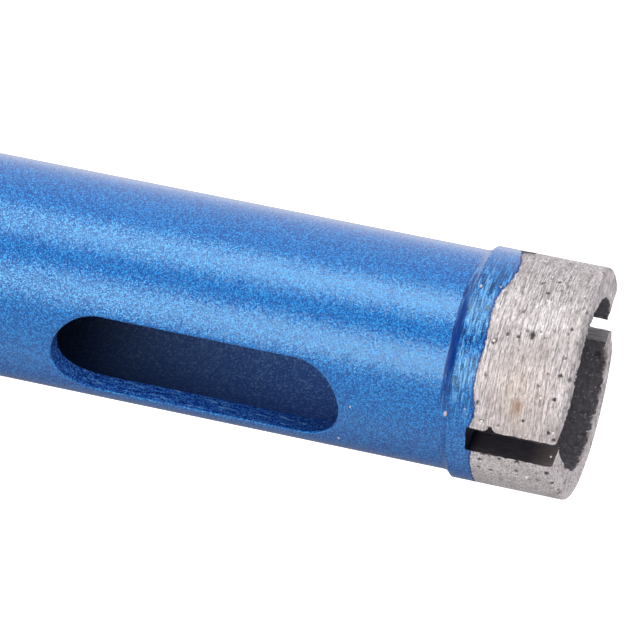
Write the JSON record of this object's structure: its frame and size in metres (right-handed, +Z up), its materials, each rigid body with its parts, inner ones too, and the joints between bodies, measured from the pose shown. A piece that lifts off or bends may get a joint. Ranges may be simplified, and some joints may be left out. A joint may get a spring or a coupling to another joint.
{
  "type": "diamond drill bit",
  "caption": "Hollow core bit for stone and tile: slotted diamond crown on a windowed steel barrel, with a tapped hexagon hub for an angle grinder.",
  "frame": {"origin": "centre of the hub's flat lower face, on the drilling axis", "axes": "+Z up the drilling axis, from the hub to the crown; the barrel's window faces -Y"},
  "size_m": [0.025, 0.025, 0.17],
  "materials": {
    "barrel_paint": "blue metal-flake enamel, sprayed over steel tube",
    "crown_matrix": "sintered diamond matrix, ground round, with open grit",
    "hub_paint": "blue metal-flake enamel over turned steel, thread left bare"
  },
  "bodies": {
    "root": {"core_tube": "barrel_paint", "diamond_crown": "crown_matrix", "threaded_hub": "hub_paint"}
  },
  "joints": []
}
